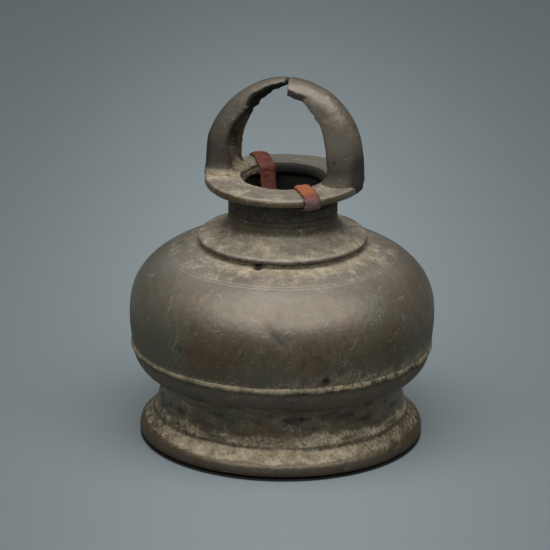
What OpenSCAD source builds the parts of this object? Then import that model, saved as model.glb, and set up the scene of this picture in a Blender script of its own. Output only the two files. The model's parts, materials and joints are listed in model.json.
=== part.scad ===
// Bronze temple bell: a bulbous dome on a waisted foot, a turned crown with a flat flange,
// two broken handle arms, and a clapper hung inside on a leather thong.
// Origin: centre of the foot's underside. +Z up. The handle lies along X. Millimetres.

/* [Body] */
// Outer radius of the foot rim
foot_r = 56.8; // [55:0.1:58.5]
// Height of the foot's straight rim
foot_rim_h = 5.2; // [4:0.1:6]
// Outer radius at the narrowest part of the waist
waist_r = 48.7; // [46.5:0.1:50]
// Height of the narrowest part of the waist
waist_z = 20; // [18:0.5:22]
// Outer radius of the lip under the dome
lip_r = 59.6; // [59:0.1:60.2]
// Height of the top of the lip
lip_z = 37.2; // [36:0.1:38.5]
// Outer radius of the dome at its widest
dome_r = 61; // [60.5:0.1:63]
// Height of the dome's widest part
dome_z = 51; // [48:0.5:54]
// Height of the dome's flat seat under the collar
seat_z = 80; // [78:0.5:81]
// How square the dome's shoulder is (2 is an ellipse)
shoulder_power = 2.45; // [2:0.05:2.8]
// Thickness of the cast wall
wall = 2.6; // [2:0.1:3.2]

/* [Crown] */
// Outer radius of the collar disc
collar_r = 33.8; // [33:0.1:35]
// Outer radius of the neck
neck_r = 21.8; // [21:0.1:22.5]
// Bore radius of the neck
neck_bore_r = 18.6; // [18:0.1:19]
// Outer radius of the flange
flange_r = 31.2; // [30:0.1:32]
// Height of the flange's top face
flange_z = 107.2; // [106.5:0.1:108]
// Height of the flange and the swelling under it
flange_h = 5.8; // [5.4:0.1:6.4]
// Radius of the hole through the flange
hole_r = 15.4; // [15:0.1:16]

/* [Handle] */
// Height of the top of the handle
handle_z = 148.5; // [144:0.5:154]
// How far out the right arm stands from the bell's axis
right_arm_r = 32.4; // [31:0.1:33]
// How far out the left arm stands from the bell's axis
left_arm_r = 32.6; // [31:0.1:33.5]
// Angle by which each arm is turned behind the handle's own line
arm_splay = 5; // [0:1:10]
// Width of an arm where it meets the flange
arm_root_w = 15.5; // [14:0.5:17]
// Thickness of an arm's wall
arm_wall = 2.4; // [2:0.1:3]

/* [Thong and clapper] */
// Direction in which one of the thong's two loops faces, seen from above
thong_angle = 129; // [115:1:140]
// How far the thong and clapper hang to one side of the bell's axis
thong_shift = 1.2; // [0:0.1:1.6]
// Width of the leather where it loops over the flange
loop_w = 6.6; // [6:0.1:7.5]
// Width of the hanging part of the thong
hanger_w = 5.6; // [4.5:0.1:6]
// Thickness of the leather
strap_t = 1.6; // [1.2:0.1:1.7]
// Height of the bar of the clapper's eye
eye_z = 58; // [54:1:62]
// Radius of the wire of the clapper's eye
wire_r = 1.4; // [1.2:0.1:1.6]
// Height of the middle of the clapper's ball
ball_z = 15.5; // [14:0.5:20]
// Radius of the clapper's ball
ball_r = 9.5; // [8:0.5:10]

/* [Hidden] */
turned_fn = 128;
small_fn = 48;
bronze = [0.46, 0.42, 0.35];
crust = [0.66, 0.62, 0.53];
leather = [0.55, 0.27, 0.18];
iron = [0.30, 0.27, 0.25];

// Seams between the castings.
seam_h = 1.8;
dome_foot_z = lip_z + seam_h;
dome_foot_r = lip_r + 0.2;
seat_r = 33;
boss_r = 31.4;
disc_z = seat_z + 1.2;
crown_low_r = 22;
neck_z = flange_z - flange_h;

// Strap slots at the top of the neck, and the leather that passes through them.
leather_gap = 0.2;
slot_w = loop_w + 0.8;
slot_z = neck_z - strap_t - 1.5;
hole_side = sqrt(pow(hole_r, 2) - pow(loop_w / 2 + thong_shift, 2)) - leather_gap;
swing_z = neck_z - 2.8;
hanger_top = swing_z - 1.3;
hanger_r = 13.6;

// The vector between the points each side of pts[i], the same at both ends of an open outline.
function along(pts, i) = pts[min(i + 1, len(pts) - 1)] - pts[max(i - 1, 0)];
// An open outline moved t to its left, which is inwards on an outline drawn upwards.
function moved(pts, t) = [
    for (i = [0 : len(pts) - 1])
        let (d = along(pts, i) / norm(along(pts, i)))
        pts[i] + t * [-d[1], d[0]]
];
// The same for a closed outline.
function moved_loop(pts, t) = [
    for (i = [0 : len(pts) - 1])
        let (n = len(pts))
        let (d = pts[(i + 1) % n] - pts[(i + n - 1) % n])
        pts[i] + t * [-d[1], d[0]] / norm(d)
];
function reversed(pts) = [for (i = [len(pts) - 1 : -1 : 0]) pts[i]];
function mix(a, b, t) = a + (b - a) * t;
// Rises smoothly from 0 to 1 as t goes from 0 to 1.
function ease(t) = t <= 0 ? 0 : t >= 1 ? 1 : t * t * (3 - 2 * t);

// Outer outline of the foot, from the floor up to the lip: rim, hollow waist, swelling underside.
rim_line = [
    [foot_r - 1.3, 0],
    [foot_r - 0.4, 0.7],
    [foot_r, 2.2],
    [foot_r, foot_rim_h - 1.4],
    [foot_r - 0.6, foot_rim_h]
];
hollow_w = foot_r + 0.7 - waist_r;
hollow_h = waist_z - foot_rim_h - 0.8;
hollow_line = [
    for (a = [66 : -6 : 0])
        [waist_r + hollow_w * (1 - cos(a)), waist_z - hollow_h * sin(a)]
];
under_w = lip_r + 1.1 - waist_r;
under_h = 11.4;
under_line = [
    for (a = [80 : -8 : 0])
        [lip_r - under_w * (1 - cos(a)), lip_z - under_h * sin(a)]
];
skirt_line = concat(hollow_line, under_line);

// Outer outline of the dome, from the seam up to the seat under the collar.
lower_dome = [
    for (i = [0 : 5])
        let (s = 1 - i / 6)
        [dome_r - (dome_r - dome_foot_r) * s * s, dome_z - (dome_z - dome_foot_z) * s]
];
function squarish(r) = pow(1 - pow(r / dome_r, shoulder_power), 1 / shoulder_power);
dome_rise = (seat_z - dome_z) / squarish(seat_r);
upper_dome = [
    for (i = [0 : 20])
        let (r = dome_r * cos(acos(seat_r / dome_r) * i / 20))
        [r, dome_z + dome_rise * squarish(r)]
];
dome_line = concat(lower_dome, upper_dome);

module turned(outline) {
    rotate_extrude($fn = turned_fn) polygon(outline);
}

module foot_skirt() {
    rim_w = 6.4;
    color(bronze)
        turned(concat(
            rim_line,
            skirt_line,
            [[lip_r - wall, lip_z]],
            reversed([for (p = moved(skirt_line, wall)) if (p[1] < lip_z - 0.2) p]),
            [[foot_r - rim_w, 0]]
        ));
}

// Pale bead of solder that runs round the bell where the dome meets the foot.
module ridge_seam() {
    bulge = 0.55;
    color(crust)
        turned([
            [lip_r - wall, lip_z],
            [lip_r, lip_z],
            [lip_r + bulge, lip_z + seam_h / 3],
            [lip_r + bulge, lip_z + seam_h * 2 / 3],
            [dome_foot_r, dome_foot_z],
            [lip_r - wall, dome_foot_z]
        ]);
}

module dome() {
    inner_line = [for (p = moved(dome_line, wall)) if (p[1] < seat_z - wall - 0.2) p];
    color(bronze)
        turned(concat(
            dome_line,
            [[crown_low_r, seat_z], [crown_low_r, seat_z - wall]],
            reversed(inner_line)
        ));
}

// Pale filler in the groove between the dome and the collar disc.
module collar_seam() {
    color(crust)
        turned([
            [boss_r, seat_z],
            [seat_r - 0.2, seat_z],
            [seat_r - 0.5, disc_z],
            [boss_r, disc_z]
        ]);
}

// Puts its children, drawn along +X, where the thong hangs; turn is 180 for the opposite loop.
module at_thong(turn = 0) {
    rotate([0, 0, thong_angle])
        translate([0, -thong_shift, 0])
            rotate([0, 0, turn])
                children();
}

// Collar disc, fillet and neck, with a slot under the flange for each loop of the thong.
module crown() {
    fillet_w = 8.5;
    fillet_h = 7.4;
    fillet_z = disc_z + 3.2 + fillet_h;
    fillet = [
        for (a = [80 : -10 : 0])
            [neck_r + fillet_w * (1 - cos(a)), fillet_z - fillet_h * sin(a)]
    ];
    color(bronze)
        difference() {
            turned(concat(
                [
                    [neck_bore_r, seat_z - wall],
                    [crown_low_r, seat_z - wall],
                    [crown_low_r, seat_z],
                    [boss_r, seat_z],
                    [boss_r, disc_z],
                    [collar_r - 0.5, disc_z],
                    [collar_r, disc_z + 0.6],
                    [collar_r, disc_z + 1.6],
                    [collar_r - 0.7, disc_z + 2.4]
                ],
                fillet,
                [[neck_r, neck_z], [neck_bore_r, neck_z]]
            ));
            for (turn = [0, 180])
                at_thong(turn)
                    translate([neck_bore_r - 3, -slot_w / 2, slot_z])
                        cube([8, slot_w, neck_z - slot_z + 1]);
        }
}

// The swelling underside of the flange, from the neck out to its edge, g clear of it.
flange_edge_z = flange_z - 2;
function flange_under(g) = [
    for (a = [0 : 10 : 90])
        [
            neck_r + (flange_r - neck_r + g) * sin(a),
            flange_edge_z - (flange_edge_z - neck_z + g) * cos(a)
        ]
];

module flange_ring() {
    color(bronze)
        turned(concat(
            [[neck_bore_r, neck_z]],
            flange_under(0),
            [
                [flange_r - 0.4, flange_z - 0.6],
                [flange_r - 1.4, flange_z],
                [hole_r + 1.4, flange_z],
                [hole_r + 0.4, flange_z - 0.4],
                [hole_r, flange_z - 1.3],
                [hole_r, flange_z - 2.8],
                [hole_r + 0.8, flange_z - 3.8],
                [neck_bore_r, flange_z - 4.6]
            ]
        ));
}

// Outer line of an arm in its own plane: s is 0 at the flange and 1 at the top, past the axis by over.
springing_z = 114;
function arch(s, outer_r, power, over) =
    let (a = 90 * s)
    [
        (outer_r + over) * pow(cos(a), 2 / power) - over,
        mix(flange_z, springing_z, ease(s * 6)) + (handle_z - springing_z) * pow(sin(a), 2 / power)
    ];

// One closed section of an arm: a gutter, round outside and hollow on the side of the handle's axis.
// Its back curls round past its widest part, to horn_angle each side.
section_steps = 12;
horn_angle = 125;
function gutter(w, d, hollow) =
    let (mouth = w / 2 * sin(horn_angle) - arm_wall)
    concat(
        [
            for (i = [0 : section_steps])
                let (a = horn_angle * (2 * i / section_steps - 1))
                [d * (cos(a) - 1) / (1 - cos(horn_angle)), w / 2 * sin(a)]
        ],
        [
            for (i = [section_steps : -1 : 0])
                let (a = 90 * (2 * i / section_steps - 1))
                [(d - arm_wall) * hollow * cos(a) - d, mouth * sin(a)]
        ]
    );

// An arm swept along the arch up to s = reach; its gutter deepens away from the flange.
module arm(outer_r, power, over, reach, root_d, tip_w, tip_d) {
    rings = 24;
    n = 2 * (section_steps + 1);
    points = [
        for (k = [0 : rings])
            let (t = k / rings)
            let (p = arch(reach * t, outer_r, power, over))
            let (q = arch(reach * t + 0.01, outer_r, power, over))
            let (level = ease(t * 5))
            let (d = (q - p) / norm(q - p))
            let (out = [mix(1, d[1], level), mix(0, -d[0], level)])
            let (w = mix(arm_root_w, tip_w, ease(t)))
            let (depth = mix(root_d, tip_d, ease(t)))
            for (c = gutter(w, depth, ease(t * 3) * 0.85 + 0.1))
                [p[0] + out[0] * c[0], c[1], p[1] + out[1] * c[0]]
    ];
    sides = [
        for (k = [0 : rings - 1])
            for (i = [0 : n - 1])
                let (a = k * n + i)
                let (b = k * n + (i + 1) % n)
                for (face = [[a, b, b + n], [a, b + n, a + n]])
                    face
    ];
    // Each end is a strip of triangles between the gutter's outer line and its inner line.
    root_cap = [
        for (i = [0 : section_steps - 1])
            for (face = [[i, n - 2 - i, i + 1], [i, n - 1 - i, n - 2 - i]])
                face
    ];
    tip_cap = [for (face = root_cap) reversed(face) + rings * n * [1, 1, 1]];
    color(bronze) polyhedron(points, concat(sides, root_cap, tip_cap));
}

module right_arm() {
    rotate([0, 0, arm_splay])
        arm(right_arm_r, 2.1, over = 0, reach = 0.955, root_d = 14.2, tip_w = 14, tip_d = 7.2);
}

left_root_d = 11.8;
module left_arm() {
    mirror([1, 0, 0])
        rotate([0, 0, arm_splay])
            arm(left_arm_r, 1.8, over = 2, reach = 0.975, root_d = left_root_d, tip_w = 9.5, tip_d = 4.4);
}

// Lump of solder left where the left arm was joined back on to the flange.
module arm_repair() {
    lump_r = 1.7;
    color(crust)
        rotate([0, 0, 180 - arm_splay])
            translate([left_arm_r - left_root_d - lump_r - 0.1, -3, flange_z])
                cylinder(h = 2.2, r1 = lump_r, r2 = lump_r / 2, $fn = small_fn);
}

// Inner edge of the leather loop round the flange: in through the hole, out through the slot.
loop_line = concat(
    [
        [hole_side, flange_z - 1.4],
        [hole_side, neck_z + 0.6],
        [hole_side + 0.6, neck_z - 0.7],
        [hole_side + 1.9, neck_z - 1.2],
        [neck_bore_r + 0.6, neck_z - 1.3]
    ],
    [for (p = flange_under(leather_gap)) p - [0, p[0] < neck_r + 1 ? 1 : 0]],
    [
        [flange_r - 0.1, flange_z - 0.2],
        [flange_r - 1.4, flange_z + leather_gap],
        [hole_side + 1.4, flange_z + leather_gap],
        [hole_side + 0.3, flange_z - 0.3]
    ]
);

module leather_loop(turn) {
    color(leather)
        at_thong(turn)
            rotate([90, 0, 0])
                linear_extrude(height = loop_w, center = true)
                    difference() {
                        polygon(moved_loop(loop_line, -strap_t));
                        polygon(loop_line);
                    }
}

module rear_loop() {
    leather_loop(0);
}

module front_loop() {
    leather_loop(180);
}

// The thong's hanging V, bent round the bar of the clapper's eye.
function vee(r) =
    let (lean = atan((hanger_r - wire_r - strap_t) / (hanger_top - eye_z)))
    let (run = (hanger_top - eye_z) / cos(lean) + r * tan(lean))
    let (end = [r * cos(lean) + run * sin(lean), hanger_top - eye_z])
    concat(
        [[-end[0], end[1]]],
        [for (a = [180 + lean : 14 : 360 - lean]) r * [cos(a), sin(a)]],
        [[r * cos(lean), -r * sin(lean)]],
        [end]
    );

module hanging_thong() {
    inner_r = wire_r + 0.1;
    color(leather)
        at_thong()
            translate([0, 0, eye_z])
                rotate([90, 0, 0])
                    linear_extrude(height = hanger_w, center = true)
                        polygon(concat(vee(inner_r + strap_t), reversed(vee(inner_r))));
}

// Wire eye: a straight bar in the thong's bend, two short legs and a round bottom.
eye_half_w = hanger_w / 2 + wire_r + 0.5;
eye_drop = 2;
module clapper_eye() {
    color(iron)
        at_thong()
            translate([0, 0, eye_z]) {
                rotate([90, 0, 0]) cylinder(h = 2 * eye_half_w, r = wire_r, center = true, $fn = small_fn);
                for (side = [-1, 1])
                    translate([0, side * eye_half_w, 0]) {
                        sphere(r = wire_r, $fn = small_fn);
                        translate([0, 0, -eye_drop]) cylinder(h = eye_drop, r = wire_r, $fn = small_fn);
                    }
                translate([0, 0, -eye_drop])
                    rotate([0, 90, 0])
                        rotate([0, 0, -90])
                            rotate_extrude(angle = 180, $fn = small_fn)
                                translate([eye_half_w, 0]) circle(r = wire_r, $fn = small_fn);
            }
}

rod_r = 2.1;
rod_top = eye_z - eye_drop - eye_half_w;
module clapper_rod() {
    tail = 1.2;
    color(iron)
        at_thong() turned([
            [0, ball_z - ball_r - tail],
            [rod_r + 0.6, ball_z - ball_r - tail],
            [rod_r, ball_z - ball_r],
            [rod_r, rod_top - 3],
            [rod_r + 0.7, rod_top - 1.5],
            [rod_r + 0.7, rod_top + 0.4],
            [rod_r - 0.4, rod_top + 1.2],
            [0, rod_top + 1.2]
        ]);
}

module clapper_ball() {
    color(iron)
        at_thong() turned(concat(
            [[rod_r, ball_z - ball_r]],
            [for (a = [-76 : 8 : 76]) [ball_r * cos(a), ball_z + ball_r * sin(a)]],
            [[rod_r + 0.9, ball_z + ball_r + 2.4], [rod_r, ball_z + ball_r + 2.4]]
        ));
}

foot_skirt();
ridge_seam();
dome();
collar_seam();
crown();
flange_ring();
left_arm();
right_arm();
arm_repair();
front_loop();
rear_loop();
hanging_thong();
clapper_eye();
clapper_rod();
clapper_ball();
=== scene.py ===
import json
import math

import bpy
import numpy as np
from mathutils import Matrix, Vector


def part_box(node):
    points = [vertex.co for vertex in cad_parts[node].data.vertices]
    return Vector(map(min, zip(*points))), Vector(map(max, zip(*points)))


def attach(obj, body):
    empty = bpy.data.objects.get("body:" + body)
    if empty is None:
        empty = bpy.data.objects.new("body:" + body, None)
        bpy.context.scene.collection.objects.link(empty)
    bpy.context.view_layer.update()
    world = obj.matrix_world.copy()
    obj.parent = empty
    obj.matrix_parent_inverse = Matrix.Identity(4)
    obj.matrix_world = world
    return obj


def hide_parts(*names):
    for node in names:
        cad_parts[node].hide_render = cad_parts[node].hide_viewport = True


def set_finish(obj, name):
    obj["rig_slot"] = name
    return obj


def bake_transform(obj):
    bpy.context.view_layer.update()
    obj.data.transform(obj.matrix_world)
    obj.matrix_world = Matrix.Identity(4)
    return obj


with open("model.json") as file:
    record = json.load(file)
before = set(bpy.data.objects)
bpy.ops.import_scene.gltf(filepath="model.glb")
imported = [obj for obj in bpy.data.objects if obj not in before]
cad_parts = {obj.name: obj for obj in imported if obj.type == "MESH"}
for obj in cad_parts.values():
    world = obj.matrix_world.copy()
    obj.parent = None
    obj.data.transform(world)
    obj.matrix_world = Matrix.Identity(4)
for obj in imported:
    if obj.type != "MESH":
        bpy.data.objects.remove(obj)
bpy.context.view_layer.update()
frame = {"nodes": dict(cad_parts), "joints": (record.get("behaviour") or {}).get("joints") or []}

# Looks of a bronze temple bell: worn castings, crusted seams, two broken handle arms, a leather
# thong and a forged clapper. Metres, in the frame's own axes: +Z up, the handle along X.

MM = 0.001
PIECES = {}

# The angle round the bell of the side that faces the camera, and a few heights and radii of the frame.
FACING = math.radians(-73)
DOME_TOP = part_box("dome")[1].z
DOME_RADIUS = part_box("dome")[1].y
FLANGE_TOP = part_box("flange_ring")[1].z
FLANGE_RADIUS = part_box("flange_ring")[1].y
NECK_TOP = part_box("crown")[1].z
HANDLE_TOP = max(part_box("left_arm")[1].z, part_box("right_arm")[1].z)

# The point that the camera and the lights are aimed at.
MIDDLE = Vector((0, 0, 0.070))

# Where the handle's arms stand, in degrees round the bell.
RIGHT_ARM, LEFT_ARM = 5, 175

# How far the rear strap is pulled sideways inside the hole.
REAR_SLANT = -2.2 * MM


# ---------------- camera and lights

def placed(name, data):
    """A new object, put into the scene."""
    thing = bpy.data.objects.new(name, data)
    bpy.context.scene.collection.objects.link(thing)
    return thing


def make_camera():
    """A long lens, 19 degrees up and rolled a little. It is aimed to the left of the middle and
    below it, by aside and below in millimetres."""
    distance, height = 1.85, math.radians(19.26)
    roll = math.radians(0.6)
    aside, below = 2.96, 4.12
    back = Vector((
        math.cos(FACING) * math.cos(height),
        math.sin(FACING) * math.cos(height),
        math.sin(height),
    ))
    level = Vector((-math.sin(FACING), math.cos(FACING), 0))
    above = back.cross(level)
    right = level * math.cos(roll) + above * math.sin(roll)
    up = above * math.cos(roll) - level * math.sin(roll)
    aim = back * distance + right * aside * MM + up * below * MM
    aim.normalize()
    right = (right - aim * right.dot(aim)).normalized()
    up = aim.cross(right)
    data = bpy.data.cameras.new("camera")
    data.sensor_width = 36
    data.lens = 302.7
    data.clip_start = 0.1
    camera = placed("camera", data)
    place = MIDDLE + back * distance
    camera.matrix_world = Matrix((
        (right.x, up.x, aim.x, place.x),
        (right.y, up.y, aim.y, place.y),
        (right.z, up.z, aim.z, place.z),
        (0, 0, 0, 1),
    ))
    bpy.context.scene.camera = camera


def soft_light(name, side, height, distance, width, depth, power, colour=(1, 1, 1)):
    """A softbox aimed at the bell. Side and height are its angles in degrees, from the camera's side
    and from level."""
    data = bpy.data.lights.new(name, "AREA")
    data.shape = "RECTANGLE"
    data.size, data.size_y = width, depth
    data.energy = power
    data.color = colour
    light = placed(name, data)
    turn, rise = FACING + math.radians(side), math.radians(height)
    away = Vector((math.cos(turn) * math.cos(rise), math.sin(turn) * math.cos(rise), math.sin(rise)))
    light.location = MIDDLE + away * distance
    light.rotation_mode = "QUATERNION"
    light.rotation_quaternion = away.to_track_quat("Z", "Y")
    light.visible_camera = False


def make_lights():
    """A very wide sheet of light above and a little in front, with faint ones lower down and behind."""
    cool = (0.985, 0.99, 1)
    soft_light("overhead", side=0, height=68, distance=1.2, width=2.7, depth=1.5, power=27, colour=cool)
    soft_light("front", side=-8, height=30, distance=1.6, width=0.9, depth=0.9, power=1.2)
    soft_light("behind", side=180, height=55, distance=1.7, width=2, depth=1, power=3)
    world = bpy.data.worlds.new("studio")
    world.use_nodes = True
    background = world.node_tree.nodes["Background"]
    background.inputs["Color"].default_value = (0.85, 0.93, 1, 1)
    background.inputs["Strength"].default_value = 0.03
    bpy.context.scene.world = world
    bpy.context.scene.view_settings.view_transform = "Standard"


# ---------------- numbers

def smooth(low, high, x):
    """0 below low, 1 above high and a smooth step between; low may be the larger of the two."""
    t = np.clip((x - low) / (high - low), 0, 1)
    return t * t * (3 - 2 * t)


def ramp(low, high, x):
    """The same step for a length x in metres, with low and high in millimetres."""
    return smooth(low * MM, high * MM, x)


def mix(a, b, t):
    return a + (b - a) * t


def lattice(cell, seed):
    """A repeatable value from -1 to 1 for each whole-numbered cell."""
    x, y, z = (cell[..., i].astype(np.uint64) for i in range(3))
    bits = x * 0x9E3779B1 + y * 0x85EBCA77 + z * 0xC2B2AE3D + seed * 0x27D4EB2F
    for shift, factor in ((15, 0x2C1B3C6D), (12, 0x297A2D39)):
        bits &= 0xFFFFFFFF
        bits = (bits ^ (bits >> shift)) * factor
    bits &= 0xFFFFFFFF
    bits ^= bits >> 15
    return (bits & 0xFFFF).astype(float) / (0xFFFF / 2) - 1


def noise(points, size, octaves, seed):
    """Smooth lumps about size across, from about -1 to 1, with finer ones on them for each octave."""
    total, weight, share = np.zeros(len(points)), 0, 1
    for octave in range(octaves):
        p = points / size * 2 ** octave + 1000.37
        cell = np.floor(p).astype(np.int64)
        f = p - cell
        f = f * f * f * (f * (f * 6 - 15) + 10)
        for corner in np.ndindex(2, 2, 2):
            near = np.prod(np.where(corner, f, 1 - f), axis=1)
            total += share * near * lattice(cell + np.array(corner), seed + 17 * octave)
        weight += share
        share *= 0.5
    return total / weight


def resampled(line, step):
    """Points at even spacing along a line of points, both ends kept."""
    line = np.asarray(line, float)
    lengths = np.concatenate([[0], np.cumsum(np.linalg.norm(np.diff(line, axis=0), axis=1))])
    places = np.linspace(0, lengths[-1], max(2, round(lengths[-1] / step) + 1))
    return np.stack([np.interp(places, lengths, line[:, i]) for i in range(line.shape[1])], -1)


def eased(line, passes):
    """A line with its corners rounded off, both ends kept."""
    line = line.copy()
    for _ in range(passes):
        line[1:-1] = (line[:-2] + 2 * line[1:-1] + line[2:]) / 4
    return line


def eased_loop(line, passes, axis=0):
    """The same for a line that closes on itself along axis."""
    for _ in range(passes):
        line = (np.roll(line, 1, axis) + 2 * line + np.roll(line, -1, axis)) / 4
    return line


# ---------------- reading the frame

def mesh_points(mesh):
    points = np.empty(len(mesh.vertices) * 3)
    mesh.vertices.foreach_get("co", points)
    return points.reshape(-1, 3)


def node_points(node):
    return mesh_points(frame["nodes"][node].data)


def joint_place(name):
    """A joint's place and the direction of its axis."""
    joint = next(j for j in frame["joints"] if j["name"] == name)
    return np.array(joint["pos_m"], float), np.array(joint["axis"], float)


def outline(node, outside):
    """Radius and height of a turned CAD node's outer or inner surface, from the bottom up. Faces
    that lie level, and faces of a slot, which don't look along the radius, are left out."""
    level_face, along_radius = 0.02, 0.7
    points = node_points(node)
    found = set()
    for face in frame["nodes"][node].data.polygons:
        level = math.hypot(face.normal.x, face.normal.y)
        out = math.hypot(face.center.x, face.center.y)
        away = face.normal.x * face.center.x + face.normal.y * face.center.y
        if level < level_face or abs(away) < along_radius * level * out or (away > 0) != outside:
            continue
        for v in face.vertices:
            x, y, z = points[v]
            found.add((round(z, 5), round(math.hypot(x, y), 5)))
    return [(r, z) for z, r in sorted(found)]


# ---------------- making pieces

def grid_faces(rows, columns, closed):
    """Quads between neighbouring rows of points. Each row closes on itself, and the rows if closed."""
    i = np.arange(rows if closed else rows - 1)[:, None]
    j = np.arange(columns)[None, :]
    below, above = i * columns, (i + 1) % rows * columns
    following = (j + 1) % columns
    faces = np.stack([below + j, below + following, above + following, above + j], -1)
    return faces.reshape(-1, 4).tolist()


def tube_faces(rows, columns):
    """The same with both ends closed by a cap."""
    first, last = range(columns), range((rows - 1) * columns, rows * columns)
    return grid_faces(rows, columns, closed=False) + [list(first)[::-1], list(last)]


def make_piece(name, points, faces, body, slot, *nodes):
    mesh = bpy.data.meshes.new(name)
    mesh.from_pydata(np.asarray(points).tolist(), [], faces)
    mesh.update()
    mesh.shade_smooth()
    piece = placed(name, mesh)
    if body:
        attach(piece, body)
    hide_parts(*nodes)
    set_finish(piece, slot)
    PIECES[name] = piece
    return piece


class Skin:
    """A piece's points and outward directions, with what the relief functions ask about them.
    Points, radii and heights are in metres. The functions take sizes, places and depths in
    millimetres, and angles round the bell in degrees from the side that faces the camera."""

    def __init__(self, piece):
        self.piece = piece
        self.points = mesh_points(piece.data)
        self.normals = np.array([n.vector for n in piece.data.vertex_normals])
        level = self.points[:, :2].copy()
        self.radius = np.linalg.norm(level, axis=1)
        self.height = self.points[:, 2]
        turn = np.degrees(np.arctan2(level[:, 1], level[:, 0]) - FACING)
        self.side = (turn + 180) % 360 - 180
        self.outward = (self.normals[:, :2] * level).sum(1) / np.maximum(self.radius, 1e-9)

    def noise(self, size, octaves, seed):
        return noise(self.points, size * MM, octaves, seed)

    def streaks(self, size, length, seed):
        """Noise drawn out level round the bell to length, as turning marks are."""
        turn = np.radians(self.side)
        reach = DOME_RADIUS * size / length
        p = np.stack([np.cos(turn) * reach, np.sin(turn) * reach, self.height], -1)
        return noise(p, size * MM, 2, seed)

    def spot(self, side, radius, height, size):
        """1 at a place on the surface, falling away smoothly over size all round."""
        turn = FACING + math.radians(side)
        place = np.array([radius * math.cos(turn), radius * math.sin(turn), height]) * MM
        return np.exp(-((self.points - place) ** 2).sum(1) / (size * MM) ** 2)

    def arc(self, sides, radii, heights, size):
        """1 along a stroke between two places on the surface, falling away over size."""
        nearest = np.zeros(len(self.points))
        for t in np.linspace(0, 1, 24):
            side, radius, height = (mix(*ends, t) for ends in (sides, radii, heights))
            nearest = np.maximum(nearest, self.spot(side, radius, height, size))
        return nearest

    def refresh(self):
        """Puts moved points into the mesh and looks the outward directions up again."""
        mesh = self.piece.data
        mesh.vertices.foreach_set("co", self.points.ravel())
        mesh.update()
        self.normals = np.array([n.vector for n in mesh.vertex_normals])

    def push(self, depth):
        """Moves the points outwards by depth."""
        self.points += self.normals * (depth * MM)[:, None]
        self.refresh()

    def mark(self, **masks):
        """Stores each mask, from 0 to 1, for the material; one that isn't stored reads as 0."""
        for name, values in masks.items():
            layer = self.piece.data.attributes.new(name, "FLOAT", "POINT")
            layer.data.foreach_set("value", np.clip(values, 0, 1).astype(np.float32))


def turned(name, node, slot, columns, fine, coarse, slots_cut=()):
    """A turned piece drawn round the CAD node's own outline. Fine and coarse are the spacing of its
    rows outside and inside, in millimetres."""
    outer, inner = outline(node, True), outline(node, False)
    outside = eased(resampled(outer + inner[-1:], fine * MM), 2)
    inside = resampled(inner[::-1] + outer[:1], coarse * MM)
    line = np.vstack([outside, inside[1:-1]])
    turn = np.arange(columns) * 2 * math.pi / columns
    points = np.stack([
        line[:, :1] * np.cos(turn),
        line[:, :1] * np.sin(turn),
        np.repeat(line[:, 1:], columns, axis=1),
    ], -1).reshape(-1, 3)
    faces = grid_faces(len(line), columns, closed=True)
    for low, start, stop in slots_cut:
        faces = with_slot(faces, line, columns, low, start, stop)
    return make_piece(name, points, faces, "bell", slot, node)


def with_slot(faces, line, columns, low, start, stop):
    """The same faces with a slot cut down through the wall to height low, between two angles."""
    peak = int(line[:, 1].argmax())
    first = peak - int(np.searchsorted(line[:peak, 1][::-1] * -1, -low))
    last = peak + int((line[peak:, 1] > low + 1e-6).sum())
    j0, j1 = (round(a / (2 * math.pi) * columns) for a in (start, stop))
    cut = {j % columns for j in range(j0, j1)}
    kept = [
        f for k, f in enumerate(faces)
        if not (k % columns in cut and first <= k // columns < last)
    ]
    for j in range(j0, j1):
        a, b = j % columns, (j + 1) % columns
        kept.append([first * columns + a, first * columns + b, last * columns + b, last * columns + a])
    sides = [[row * columns + j % columns for row in range(first, last + 1)] for j in (j0, j1)]
    return kept + [sides[0][::-1], sides[1]]


# ---------------- the turned castings

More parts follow.
